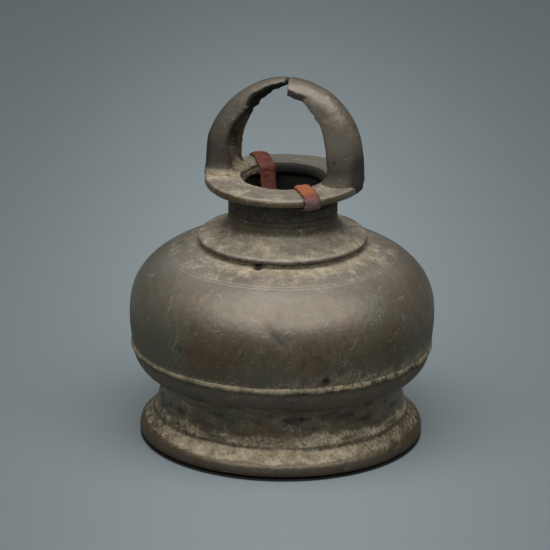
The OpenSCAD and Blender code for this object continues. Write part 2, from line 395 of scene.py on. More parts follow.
def make_foot():
    foot = turned("foot_casting", "foot_skirt", "bronze", columns=720, fine=0.46, coarse=2.5)
    s = Skin(foot)
    ledge = ramp(4.2, 5.6, s.height) * ramp(11, 9.5, s.height)
    band = ramp(10.4, 11.6, s.height) * ramp(17, 12.5, s.height)
    waist = ramp(10, 13, s.height) * ramp(30.2, 29, s.height)
    under_lip = ramp(29, 31, s.height)
    grain = s.noise(1.3, 3, 3)
    rows = s.streaks(1.1, 16, 4)
    blotch = s.streaks(3.2, 9, 12)
    depth = (
        0.28 * s.noise(26, 2, 1)
        + 0.12 * s.noise(6, 2, 2)
        + (0.03 + 0.13 * ledge + 0.10 * waist) * grain
        + 0.12 * waist * (rows + blotch)
    )
    groove = np.exp(-((s.height - 10.3 * MM - 0.5 * MM * s.noise(18, 1, 5)) / (0.5 * MM)) ** 2)
    groove *= smooth(-0.2, 0.5, s.noise(24, 2, 6) + 0.45)
    step = np.exp(-((s.height - 29.6 * MM) / (0.4 * MM)) ** 2) * smooth(-0.5, 0.2, s.noise(30, 1, 7))
    nicks = smooth(0.55, 0.8, s.noise(3.5, 2, 8)) * ramp(3, 5, s.height)
    nicks *= ramp(7, 5.5, s.height)
    pits = smooth(0.5, 0.75, s.noise(1.9, 2, 13)) * waist
    outside = (s.outward > -0.2) & (s.height > 0.3 * MM)
    relief = depth - 0.5 * groove - 0.25 * step - 0.35 * nicks - 0.2 * pits
    s.push(np.where(outside, relief, 0))
    tucked = (2.6 + 0.6 * s.noise(20, 1, 15)) * MM * ramp(0.8, 0.1, s.height)
    tucked *= smooth(-0.2, 0.2, s.outward)
    s.points[:, :2] *= (1 - tucked / s.radius)[:, None]
    s.refresh()
    front = smooth(65, 15, np.abs(s.side + 12))
    inner_ledge = ledge * ramp(5.4, 7, s.height + 0.8 * MM * s.noise(5, 2, 16))
    crust = inner_ledge * (0.40 + 0.80 * front + 0.12 * s.noise(9, 2, 9) + 0.25 * grain)
    crust += band * (0.42 + 0.25 * s.noise(9, 2, 14) + 0.3 * grain)
    crust += waist * 0.4 * smooth(-0.1, 0.8, s.noise(8, 3, 10) + 0.6 * blotch)
    dark = 0.6 * groove + 0.5 * step + smooth(0.1, -0.7, grain) * 0.35 * ledge + 0.5 * pits
    dark += waist * 0.6 * smooth(0.1, -0.6, blotch + 0.5 * rows)
    # Darker on the rim's side below about 5 mm, and painted shade under the ridge's lip.
    dark += 0.55 * ramp(5.2, 4.2, s.height) + 0.45 * under_lip
    # Painted shade on the inside of the casting.
    inside = smooth(0.1, -0.3, s.outward)
    s.mark(
        crust=crust * (1 - inside),
        dark=dark + 0.7 * inside,
        worn=0.1 * under_lip,
        green=0.55 * waist * smooth(-0.35, 0.5, s.noise(15, 2, 11)),
    )


def make_ridge_bead():
    bead = turned("ridge_bead", "ridge_seam", "crust", columns=900, fine=0.25, coarse=1.2)
    s = Skin(bead)
    grain = s.noise(0.9, 3, 21)
    rough = smooth(-15, 35, s.side) * 0.75 + 0.25
    depth = 0.5 + 0.22 * s.noise(9, 2, 22) + 0.2 * grain * rough
    gap = smooth(0.55, 0.8, s.noise(12, 2, 23))
    s.push(np.where(s.outward > 0.1, depth - 0.45 * gap, 0))
    s.mark(
        crust=0.95 - 0.7 * gap,
        # Dark grains and darker towards the left, with painted shade on the bead's downward faces.
        dark=smooth(0.2, -0.45, grain) * 0.8 * rough + 0.3 * smooth(0, 0.6, s.noise(6, 2, 24))
        + 0.3 * smooth(0, -60, s.side) + 0.35 * smooth(0.2, -0.5, s.normals[:, 2]),
    )


def make_dome():
    dome = turned("dome_casting", "dome", "bronze", columns=640, fine=0.45, coarse=3)
    s = Skin(dome)
    seam = s.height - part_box("dome")[0].z
    collar = s.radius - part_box("crown")[1].y
    depth = (
        0.28 * s.noise(30, 2, 31)
        + 0.10 * s.noise(8, 2, 32)
        + 0.03 * s.noise(1.6, 2, 33)
    )
    low_crust = ramp(8, 0.5, seam + 3 * MM * s.noise(13, 2, 34)) * smooth(-30, 20, s.side)
    low_crust *= smooth(100, 70, s.side) * 0.8
    low_crust = np.maximum(low_crust, 0.6 * ramp(2.6, 0.4, seam + MM * s.noise(7, 2, 35)))
    patchy = s.noise(7, 3, 36)
    high_crust = ramp(8, 2.5, collar + 4 * MM * patchy)
    high_crust = np.maximum(high_crust, 0.8 * ramp(13, 10, collar) * smooth(-0.25, 0.4, patchy))
    high_crust *= 0.55 + 0.45 * smooth(-75, -30, s.side) * smooth(110, 60, s.side)
    grain = s.noise(1.5, 3, 37)
    crust = np.maximum(0.8 * low_crust, 0.9 * high_crust)
    depth += 0.10 * crust * (0.6 + grain)
    dent = s.arc((-5, 0.5), (58.5, 60.2), (63.4, 58.4), 2.9)
    crease = s.arc((-3.5, 0), (59.2, 60.1), (62, 58.8), 1.3)
    swelling = s.spot(-12, 58, 64.5, 6) + 0.7 * s.spot(4, 59, 63, 5)
    turned_lines = (s.height > 65 * MM) * ramp(6, 3, np.abs(s.radius - 45 * MM))
    turned_lines *= smooth(-0.3, 0.4, s.noise(30, 2, 39) + 0.8 * smooth(40, -30, s.side) - 0.25)
    scratch = s.arc((44, 54), (52.2, 59.2), (70.8, 61.6), 0.5)
    scratch += 0.8 * s.arc((13, 20), (53.6, 57.6), (69.6, 64.6), 0.4)
    scratch += 0.7 * s.arc((50, 40), (50.4, 53.6), (72.5, 69.5), 0.45)
    pits = s.spot(17, 60.2, 41.4, 1.5) + s.spot(-16.5, 33.6, 80, 1.3)
    pits += s.spot(47, 60.4, 57, 1.3) * 0.5 + s.spot(-41, 61, 50, 1.4) * 0.5
    small = smooth(0.62, 0.8, s.noise(2.4, 2, 40)) * smooth(0.1, 0.5, s.noise(22, 1, 41))
    outside = s.outward > -0.02
    depth += 0.15 * swelling - 0.28 * dent - 0.06 * crease - 0.1 * scratch
    s.push(np.where(outside, depth - 1.2 * pits - 0.14 * small, 0))
    inside = smooth(0, -0.3, s.outward)
    s.mark(
        crust=(crust * (0.8 + 0.4 * grain) + 0.45 * scratch) * (1 - inside),
        # Dark in the pits; painted shade in the dent and its crease, inside the bell, under the collar's
        # edge and over the lower bulb.
        dark=pits + 0.3 * dent + 0.3 * crease + 0.35 * small + 0.7 * inside + 0.5 * ramp(0.9, 0.2, collar)
        + 0.38 * ramp(62, 44, s.height),
        # Wear and painted light: the upper bulb and the shoulder are lighter.
        worn=(0.4 * ramp(50, 66, s.height) + 0.42 * ramp(68, 78, s.height))
        * (1 + 0.4 * s.noise(16, 2, 42)),
        green=smooth(0, 0.6, 0.7 * s.noise(24, 2, 43) + 0.9 * smooth(-30, -75, s.side) - 0.12),
        lines=turned_lines,
    )


def make_collar_filler():
    filler = turned("collar_filler", "collar_seam", "crust", columns=480, fine=0.2, coarse=0.8)
    s = Skin(filler)
    grain = s.noise(1.1, 3, 51)
    bulge = 0.3 + 0.3 * s.noise(7, 2, 52) + 0.15 * grain
    hole = s.spot(-16.5, 32.8, 80.6, 1.2)
    s.push(np.where(s.outward > 0.1, bulge - 1.5 * hole, 0))
    s.mark(crust=0.95 + 0.05 * grain, dark=0.4 + 0.5 * smooth(0.1, -0.7, grain) + hole)


def thong_frame():
    """The thong's hinge line: a point of it, the level direction along it and the one across it."""
    place, along = joint_place("thong_swing")
    return place, along, np.array([-along[1], along[0], 0])


def make_crown():
    hinge, along, across = thong_frame()
    slot_low, slot_half = NECK_TOP - 3.1 * MM, 3.2 * MM
    neck = 21.8 * MM
    shift = float(hinge @ across)
    cuts = []
    for sign in (1, -1):
        middle = math.atan2(sign * along[1], sign * along[0])
        edges = sorted(math.asin((sign * shift + e) / neck) for e in (-slot_half, slot_half))
        cuts.append((slot_low, middle + edges[0], middle + edges[1]))
    crown = turned("crown_casting", "crown", "bronze", columns=480, fine=0.4, coarse=1, slots_cut=cuts)
    s = Skin(crown)
    disc_low = DOME_TOP + 1.2 * MM
    depth = (
        0.12 * s.noise(20, 2, 61)
        + 0.07 * s.noise(5, 2, 62)
        + 0.05 * s.noise(1.2, 2, 63)
        + 0.06 * s.streaks(0.8, 20, 64)
    )
    turning = sum(np.exp(-((s.height - h * MM) / (0.45 * MM)) ** 2) for h in (94.6, 92.4))
    edge = ramp(1.5, 0.4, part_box("crown")[1].y - s.radius) * smooth(0.4, 0.8, s.noise(4, 2, 65))
    shown = (s.outward > -0.1) & (s.height > disc_low + 0.2 * MM)
    grain = s.noise(1.4, 3, 66)
    low = ramp(91, 84, s.height)
    pale = smooth(-0.1, 0.6, s.noise(9, 3, 67)) * (0.8 + 0.3 * grain)
    patch = s.spot(-19, 24.8, 86.1, 3.2) + 0.7 * s.spot(-12, 28.5, 83.5, 2.5)
    inside = smooth(0, -0.4, s.outward)
    depth += 0.08 * pale * low * grain - 0.22 * turning - 0.35 * edge
    s.push(np.where(shown, depth, 0))
    s.mark(
        crust=(low * (0.42 + 0.30 * pale) + 0.7 * patch + 0.3 * smooth(0.35, 0.7, s.noise(5, 2, 68)))
        * (1 - inside),
        # Painted shade on the neck under the flange and inside the crown, a painted shadow line under the
        # collar's edge, and dark turned grooves.
        dark=0.5 * ramp(88, 95, s.height) + inside + 0.3 * smooth(0, -0.7, grain) + 0.25 * turning
        + 0.6 * ramp(83.3, 82.5, s.height),
        # Wear and painted light on the collar's slope.
        worn=low,
        green=smooth(-0.1, 0.6, s.noise(14, 2, 69)) * 0.7 + patch,
    )


def near_arm(side_angle):
    """1 where the handle's arms stand on the flange, fading over about 30 degrees each way."""
    out = np.zeros(len(side_angle))
    for arm in (RIGHT_ARM, LEFT_ARM):
        turn = (side_angle + math.degrees(FACING) - arm + 180) % 360 - 180
        out = np.maximum(out, np.exp(-(turn / 27) ** 2))
    return out


def make_flange():
    flange = turned("flange_casting", "flange_ring", "bronze", columns=560, fine=0.34, coarse=0.5)
    s = Skin(flange)
    at_arm = near_arm(s.side)
    out = smooth(24 * MM, FLANGE_RADIUS, s.radius)
    level = s.points[:, :2] / s.radius[:, None]
    widened = mix(-0.15, 0.60, at_arm) * MM
    s.points[:, :2] += level * (out * widened)[:, None]
    under = smooth(FLANGE_TOP - 0.8 * MM, FLANGE_TOP - 2.6 * MM, s.height) * ramp(21, 25, s.radius)
    s.points[:, 2] += under * (1 - at_arm) * 0.9 * MM * ramp(32, 28, s.radius)
    s.refresh()
    top = smooth(0.6, 0.9, s.normals[:, 2])
    hole = ramp(17.5, 15.6, s.radius)
    grain = s.noise(1.3, 3, 73)
    root = np.zeros(len(top))
    for arm, size, share in ((LEFT_ARM, 14, 1.3), (RIGHT_ARM, 6, 0.5)):
        turn = arm - math.degrees(FACING)
        root = np.maximum(root, share * s.spot(turn, 22.5, FLANGE_TOP / MM, size))
    depth = (
        0.22 * s.noise(17, 2, 71)
        + 0.10 * s.noise(4, 2, 72)
        + (0.03 + 0.12 * root) * grain
        - 0.35 * smooth(0.35, 0.8, s.noise(6, 2, 74)) * ramp(1.5, 0, FLANGE_TOP - s.height)
    )
    depth -= 0.5 * hole * smooth(0, 0.7, s.noise(7, 2, 75))
    keep = s.height < NECK_TOP + 0.1 * MM
    s.push(np.where(keep, 0, depth))
    crust = root * (0.9 + 0.5 * grain) + 0.3 * top * smooth(90, 30, np.abs(s.side))
    crust += 0.3 * top * smooth(0, 0.7, s.noise(8, 3, 76))
    brink = 16.2 * MM + 1.7 * MM * smooth(60, 120, np.abs(s.side)) + 0.3 * MM * s.noise(4, 2, 78)
    edge = smooth(brink + 0.35 * MM, brink - 0.35 * MM, s.radius)
    crust *= 1 - edge
    left_wall = smooth(-75, -95, s.side) * smooth(-165, -145, s.side) * (1 - top) * hole
    crust += 0.8 * left_wall * smooth(-0.4, 0.3, grain)
    lining = smooth(0.97, 0.8, s.normals[:, 2]) * ramp(19, 18, s.radius)
    right_rim = smooth(26, 16, np.abs(s.side + math.degrees(FACING) - 3)) * ramp(30.8, 32, s.radius)
    s.mark(
        crust=crust,
        # Painted shade under the flange near the neck and inside the hole, and darker on the rim beside
        # the right arm, most on its side and underside.
        dark=0.7 * smooth(NECK_TOP + 4 * MM, NECK_TOP, s.height) + 0.25 * smooth(0, -0.7, grain)
        + np.minimum(edge + lining, 1) * (1 - 0.75 * left_wall) + right_rim * (0.9 - 0.5 * top),
        # Wear by the arms, and painted light on the upward faces.
        worn=top + 0.4 * at_arm * (1 - top),
        green=smooth(0.1, 0.7, s.noise(9, 2, 77)) * 0.4,
    )


# ---------------- the broken handle

# How far an unbroken edge of a handle arm's gutter curls round, in degrees.
FULL_CURL = 125


def arch(s, reach, power, over):
    """Outer line of an arm in its own plane. s is 0 at the flange and 1 at the arch's top, which is
    past the bell's axis by over."""
    springing = 114 * MM
    a = s * math.pi / 2
    x = (reach + over) * np.cos(a) ** (2 / power) - over
    lift = mix(FLANGE_TOP, springing, smooth(0, 1, s * 6))
    return x, lift + (HANDLE_TOP - springing) * np.sin(a) ** (2 / power)


def make_arm(
    name, node, turn, proud, power, over, stop,
    root_depth, tip_width, tip_depth, horns, torn, ragged, seed,
):
    """A gutter-shaped arm swept up its arch as far as stop, standing proud of the CAD one's outer line.
    The horns are how far the front and rear edges of the gutter curl round, in degrees, at even steps
    from the flange to the broken end; torn is how uneven those edges are, in degrees, and ragged cuts
    the end back. At the flange its back is drawn out to just past the rim."""
    rings, steps = 220, 56
    wall, root_width, past_rim = 2.4 * MM, 15.5 * MM, 1.1 * MM
    way = np.array([math.cos(math.radians(turn)), math.sin(math.radians(turn))])
    reach = float((node_points(node)[:, :2] @ way).max()) + proud
    v = np.linspace(-1, 1, steps + 1)
    v = np.concatenate([v, v[::-1]])
    inner = np.arange(2 * steps + 2) > steps
    t = np.linspace(0, 1, rings + 1)[:, None]
    jag = np.array([noise(np.array([[x * 8, 3.1, seed]]), 1.6, 2, seed)[0] for x in v])
    end = stop * (1 - ragged * (0.5 + 0.5 * jag + 0.6 * np.abs(v)))
    s = end[None, :] * t
    share = s / stop
    edges = np.broadcast_to(9 * np.sign(v), share.shape)
    places = np.stack([19 * share, edges, np.full(share.shape, 1.7 * seed)], -1)
    wobble = noise(places.reshape(-1, 3), 1, 3, seed).reshape(share.shape)
    front, rear = (np.interp(share, np.linspace(0, 1, len(horn)), horn) for horn in horns)
    horn = np.where(v < 0, front, rear) + torn * wobble * smooth(0.35, 0.6, share)
    a = np.radians(horn * v)
    full = math.radians(FULL_CURL)
    wide = mix(root_width, tip_width, smooth(0, 1, share)) / 2
    deep = mix(root_depth, tip_depth, smooth(0, 1, share) ** 1.25)
    hollow = smooth(0, 1, share * 5) * 0.85 + 0.1
    mouth = wide * math.sin(full) - wall
    b = a / full * math.pi / 2
    section_x = np.where(
        inner,
        (deep - wall) * hollow * np.cos(b) - deep,
        deep * (np.cos(a) - 1) / (1 - math.cos(full)),
    )
    section_y = np.where(inner, mouth * np.sin(b), wide * np.sin(a))
    section_x, section_y = (eased_loop(section, 3, 1) for section in (section_x, section_y))
    x0, z0 = arch(s, reach, power, over)
    a_little = 0.01
    x1, z1 = arch(np.minimum(s + a_little, 0.9999), reach, power, over)
    run = np.hypot(x1 - x0, z1 - z0)
    level = smooth(0, 1, share * 5)
    out_x = mix(1, (z1 - z0) / run, level)
    out_z = mix(0, (x0 - x1) / run, level)
    x, y, z = x0 + out_x * section_x, section_y, z0 + out_z * section_x
    outermost = ramp(-8, -3, section_x) * (1 - inner)
    rim = np.sqrt((FLANGE_RADIUS + past_rim) ** 2 - y ** 2)
    x = mix(x, np.maximum(x, rim), outermost * smooth(FLANGE_TOP + 8 * MM, FLANGE_TOP, z))
    sunk, sunk_at_rim, drawn_in = 1.2 * MM, 1.6 * MM, 0.5 * MM
    z[0] -= sunk + sunk_at_rim * outermost[0]
    x[0] -= drawn_in * outermost[0]
    points = np.stack([x * way[0] - y * way[1] * np.sign(way[0]), x * way[1] + y * abs(way[0]), z], -1)
    columns = 2 * steps + 2
    faces = grid_faces(rings + 1, columns, closed=False)
    caps = [[i, columns - 1 - i, columns - 2 - i, i + 1] for i in range(steps)]
    faces += caps
    faces += [[p + rings * columns for p in reversed(f)] for f in caps]
    if way[0] < 0:
        faces = [f[::-1] for f in faces]
    piece = make_piece(name, points.reshape(-1, 3), faces, "bell", "bronze", node)
    inner, v = (np.broadcast_to(values, share.shape).ravel() for values in (inner, v))
    return piece, share.ravel(), inner, v, way, reach


def finish_arm(made, seed, crusty, darker_up_to, torn_from, torn_band):
    """Relief, wear and painted light. The arm is darker from the flange up to a given height above it.
    Its near edge shows a broken face from torn_from along the arm; torn_band is where that face starts,
    as a share of the way round from the arm's back to its near edge."""
    piece, share, inner, v, way, reach = made
    near_edge, far_edge = np.maximum(-v, 0), np.maximum(v, 0)
    s = Skin(piece)
    along = s.points[:, :2] @ way
    root = smooth(FLANGE_TOP + 6 * MM, FLANGE_TOP, s.height) ** 2
    low = smooth(FLANGE_TOP + darker_up_to, FLANGE_TOP + darker_up_to / 3, s.height) * smooth(0.8, 0.3, root * crusty)
    within = smooth(reach - 1.5 * MM, reach - 7 * MM, along)
    broken = smooth(0.965, 1, share)
    grain = s.noise(1.2, 3, seed + 3)
    depth = (
        0.26 * s.noise(13, 2, seed)
        + 0.12 * s.noise(3.6, 2, seed + 1)
        + (0.035 + 0.14 * root * crusty) * grain
        + 2 * root * within
        + 0.3 * broken * s.noise(1.5, 2, seed + 2)
    )
    pits = smooth(0.55, 0.78, s.noise(1.8, 2, seed + 4)) * smooth(0, 0.5, s.noise(12, 1, seed + 5))
    torn = smooth(torn_from, torn_from + 0.03, share + 0.02 * s.noise(2.5, 2, seed + 8))
    torn *= smooth(torn_band, torn_band + 0.06, near_edge + 0.05 * s.noise(3, 2, seed + 9))
    s.push(depth - 0.3 * pits - 0.5 * torn)
    up = smooth(-0.2, 0.9, s.normals[:, 2])
    # Painted shade inside the gutter, lighter on its far wall.
    far_side = 1 - 0.75 * smooth(0.25, 0.7, far_edge)
    gutter = smooth(0.05, 0.3, share) * mix(far_side, 1, smooth(0.4, 0.55, share))
    s.mark(
        crust=root * crusty * (0.8 + 0.6 * grain) * smooth(reach - 0.2 * MM, reach - 3 * MM, along)
        + 0.2 * smooth(0.2, 0.7, s.noise(5, 2, seed + 6)) * (1 - inner),
        dark=inner * gutter + 0.4 * broken + 0.6 * pits + 0.9 * torn
        # Darker on the arm's outer side, partly patina and partly painted shade, and darker low down.
        + (0.4 * smooth(reach - 6 * MM, reach - 1 * MM, along) + 0.65 * low) * (1 - inner),
        # Wear, with painted light on the top and on the near edge that faces the camera.
        worn=(0.30 + 0.12 * up + 0.3 * near_edge) * (1 - inner * 0.8) * (1 - 0.7 * low),
        green=smooth(0.1, 0.8, s.noise(15, 2, seed + 7)) * 0.4,
    )


def make_handle():
    right = make_arm(
        "right_handle_arm", "right_arm", turn=RIGHT_ARM, proud=0.2 * MM, power=2.1, over=0, stop=0.962,
        root_depth=14.2 * MM, tip_width=14 * MM, tip_depth=8 * MM,
        horns=((*[FULL_CURL] * 7, 126, 113, 115, 108), (FULL_CURL, 120)),
        torn=8, ragged=0.009, seed=101,
    )
    finish_arm(right, seed=110, crusty=0.45, darker_up_to=18 * MM, torn_from=0.80, torn_band=0.62)
    left = make_arm(
        "left_handle_arm", "left_arm", turn=LEFT_ARM, proud=0.5 * MM, power=1.8, over=2 * MM, stop=0.98,
        root_depth=13 * MM, tip_width=9.5 * MM, tip_depth=5.2 * MM,
        horns=((118, 114, 108, 103, 100, 104, 106, 88, 80, 72, 50), (*[FULL_CURL] * 8, 120, 104, 66)),
        torn=14, ragged=0.008, seed=131,
    )
    finish_arm(left, seed=140, crusty=1, darker_up_to=30 * MM, torn_from=0.60, torn_band=0.80)


def make_solder_lump():
    """A crusty mound of solder at the left arm's root, over the CAD lump."""
    low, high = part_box("arm_repair")
    middle = (low + high) / 2
    rows, columns = 40, 96
    tilt = np.linspace(0.02, math.pi - 0.02, rows)[:, None]
    turn = np.arange(columns)[None, :] * 2 * math.pi / columns
    points = np.stack([
        middle.x - 0.4 * MM + 3.4 * MM * np.sin(tilt) * np.cos(turn),
        middle.y + 0.6 * MM + 4.6 * MM * np.sin(tilt) * np.sin(turn),
        low.z + 0.1 * MM - 2.3 * MM * np.cos(tilt) + 0 * turn,
    ], -1).reshape(-1, 3)
    lump = make_piece("solder_lump", points, tube_faces(rows, columns), "bell", "crust", "arm_repair")
    s = Skin(lump)
    grain = s.noise(1.5, 3, 151)
    s.push(0.5 * s.noise(2.8, 2, 152) + 0.35 * grain)
    s.mark(crust=0.95 + 0.05 * grain, dark=smooth(0, -0.6, grain) * 0.5)


# ---------------- the leather thong

def hull(points):
    """The convex outline of points in a plane, anticlockwise."""
    points = sorted(set(map(tuple, np.round(points, 6))))
    sides = []
    for order in (points, points[::-1]):
        side = []
        for p in order:
            while len(side) > 1:
                a, b = side[-2], side[-1]
                if (b[0] - a[0]) * (p[1] - a[1]) - (b[1] - a[1]) * (p[0] - a[0]) > 0:
                    break
                side.pop()
            side.append(p)
        sides.append(side[:-1])
    return np.array(sides[0] + sides[1])


def wrapped(points, gap, steps):
    """A smooth closed line of steps points, gap clear of the points it goes round. It starts at the
    inner side and goes down."""
    line = hull(points)
    line = resampled(np.vstack([line, line[:1]]), 0.15 * MM)[:-1]
    ahead = np.roll(line, -1, 0) - np.roll(line, 1, 0)
    ahead /= np.linalg.norm(ahead, axis=1)[:, None]
    ahead = eased_loop(ahead, 14)
    line = line + gap * np.stack([ahead[:, 1], -ahead[:, 0]], -1) / np.linalg.norm(ahead, axis=1)[:, None]
    line = eased_loop(line, 10)
    first = int(line[:, 0].argmin())
    line = np.roll(line, -first, 0)
    line = resampled(np.vstack([line, line[:1]]), 0.1 * MM)
    places = np.linspace(0, len(line) - 1, steps + 1)[:-1]
    return np.stack([np.interp(places, np.arange(len(line)), line[:, i]) for i in (0, 1)], -1)


def make_loop(name, node, sign, slant, rim_slant, seed):
    """A strap wrapped round the flange, through the hole and the slot in the neck; slant and
    rim_slant are how far it is pulled sideways inside the hole and at the flange's rim."""
    hinge, along, across = thong_frame()
    along, across = along * sign, across * sign
    steps, stations, thick, wide = 220, 14, 1.5 * MM, 6.4 * MM
    flange = mesh_points(PIECES["flange_casting"].data) - hinge
    u, v = flange @ along, flange @ across
    rim = float(u[(u > 8 * MM) & (np.abs(v) < 2 * MM)].min())
    drop = np.array([[0.6, -1], [3.4, -1.2]]) * MM + [rim, NECK_TOP - hinge[2]]
    rows = []
    for place in np.linspace(-wide / 2, wide / 2, stations + 1):
        band = (u > 0) & (np.abs(v - place) < 0.7 * MM)
        near = np.vstack([np.stack([u[band], flange[band, 2]], -1), drop])
        edge = smooth(0.5, 1, abs(place) / (wide / 2)) * 0.5 * MM
        under = wrapped(near, 0.15 * MM + edge * 0.4, steps)
        rows.append([place, under, wrapped(near, thick - edge, steps)])
    rings = []
    for order, index in ((rows, 1), (rows[::-1], 2)):
        for row in order:
            line = row[index]
            run = np.arange(steps) * 0.35
            uneven = noise(np.stack([run, 0 * run, 0 * run + seed], -1), 3, 2, seed) * 0.35 * MM
            widening = 0.12 * noise(np.stack([run, 0 * run + 7, 0 * run], -1), 2, 2, seed)
            sides = row[0] + uneven + row[0] * widening
            inwards = mix(19.5 * MM, 28 * MM, ramp(1, 6, line[:, 1]))
            sides = sides - slant * smooth(0, 1, (line[:, 0] - inwards) / (16.5 * MM - inwards))
            sides = sides - rim_slant * ramp(18, 32, line[:, 0])
            rings.append(hinge + np.outer(line[:, 0], along) + np.outer(sides, across)
                         + np.outer(line[:, 1], [0, 0, 1]))
    rings = np.array(rings)
    count = len(rings)
    points = rings.transpose(1, 0, 2).reshape(-1, 3)
    faces = [f[::-1] for f in grid_faces(steps, count, closed=True)]
    loop = make_piece(name, points, faces, "bell", "leather", node)
    leather_relief(loop, seed)


def leather_relief(piece, seed):
    s = Skin(piece)
    crease = smooth(0.15, 0.6, s.noise(2.2, 2, seed))
    scuffs = smooth(0.4, 0.7, s.noise(1.1, 2, seed + 1))
    grain = 0.14 * s.noise(4, 2, seed + 3) + 0.10 * s.noise(1.3, 3, seed + 2)
    s.push(grain - 0.16 * crease)
    front = smooth(110, 60, np.abs(s.side))
    s.mark(
        # Painted light on the top of the front run, where it lies on the flange.
        sunlit=front * smooth(0.45, 0.95, s.normals[:, 2]) * ramp(31, 25, s.radius)
        * smooth(FLANGE_TOP - 2 * MM, FLANGE_TOP + 1 * MM, s.height),
        scuffed=scuffs * 0.8 + 0.3 * crease,
        dusty=front * smooth(0.9, 0.4, s.normals[:, 2]) * ramp(24, 31, s.radius),
    )


def make_hanging_thong():
    """The two runs of the thong from the loops down to the clapper's eye, one bent strap."""
    hinge, along, across = thong_frame()
    eye = float(joint_place("clapper_swing")[0][2])
    wire = 1.4 * MM
    thick = 1.6 * MM
    bend = wire + 0.1 * MM + thick / 2
    top = FLANGE_TOP - 2.5 * MM
    top_u, hang_u, hang_z = 14.4 * MM, 12.8 * MM, NECK_TOP - 4 * MM
    lean = math.atan((hang_u - bend) / (hang_z - eye))
    turn = np.linspace(-lean, -math.pi + lean, 22)
    curve = [(bend * math.cos(a), eye + bend * math.sin(a)) for a in turn]
    line = np.array([(top_u, top), (hang_u + 0.3 * MM, hang_z + 1 * MM)] + curve
                    + [(-hang_u - 0.3 * MM, hang_z + 1 * MM), (-top_u, top)])
    line = eased(resampled(line, 0.4 * MM), 6)
    ahead = np.gradient(line, axis=0)
    ahead /= np.linalg.norm(ahead, axis=1)[:, None]
    side = np.stack([-ahead[:, 1], ahead[:, 0]], -1)
    wide = mix(5.6, 6.3, smooth(hang_z - 16 * MM, hang_z, line[:, 1])) * MM
    around = np.linspace(0, 2 * math.pi, 40, endpoint=False)
    roundness = 0.35
    flat = np.sign(np.cos(around)) * np.abs(np.cos(around)) ** roundness
    deep = np.sign(np.sin(around)) * np.abs(np.sin(around)) ** roundness
    points = []
    for k, (u, z) in enumerate(line):
        off = deep * thick / 2
        place = hinge * np.array([1, 1, 0]) + np.outer(u + side[k, 0] * off, along)
        slant = REAR_SLANT * ramp(70, 97, z) * (u > 0)
        place = place + np.outer(flat * wide[k] / 2 - slant, across)
        place[:, 2] += z + side[k, 1] * off
        points.append(place)
    faces = tube_faces(len(line), len(around))
    thong = make_piece("hanging_strap", np.concatenate(points), faces, None, "leather", "hanging_thong")
    leather_relief(thong, 171)
    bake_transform(thong)


# ---------------- the iron clapper

def forged(name, node, voxel, amount, seed):
    """A forged iron piece: the CAD shape rebuilt evenly, then uneven by amount from hammer and rust."""
    source = placed(name + "_source", frame["nodes"][node].data.copy())
    even = source.modifiers.new("even", "REMESH")
    even.mode = "VOXEL"
    even.voxel_size = voxel
    relaxed = source.modifiers.new("relaxed", "SMOOTH")
    relaxed.factor, relaxed.iterations = 0.5, 3
    built = source.evaluated_get(bpy.context.evaluated_depsgraph_get()).to_mesh()
    points = mesh_points(built)
    faces = [list(f.vertices) for f in built.polygons]
    bpy.data.objects.remove(source)
    piece = make_piece(name, points, faces, "clapper", "iron", node)
    s = Skin(piece)
    scale = smooth(0.2, 0.7, s.noise(1.6, 2, seed + 2))
    s.push(amount * (s.noise(4, 2, seed) + 0.4 * s.noise(1.2, 2, seed + 1)) - 0.08 * scale)
    s.mark(scale=scale, dark=smooth(0, -0.6, s.noise(1.2, 2, seed + 1)))


def make_clapper():
    forged("forged_eye", "clapper_eye", 0.28 * MM, 0.08, 181)
    forged("forged_rod", "clapper_rod", 0.35 * MM, 0.14, 185)
    forged("forged_ball", "clapper_ball", 0.45 * MM, 0.3, 189)


# ---------------- materials

def linear(colour):
    """A colour as it looks on a screen, from 0 to 255, as the shader's linear numbers."""
    return tuple(((c / 255 + 0.055) / 1.055) ** 2.4 for c in colour)


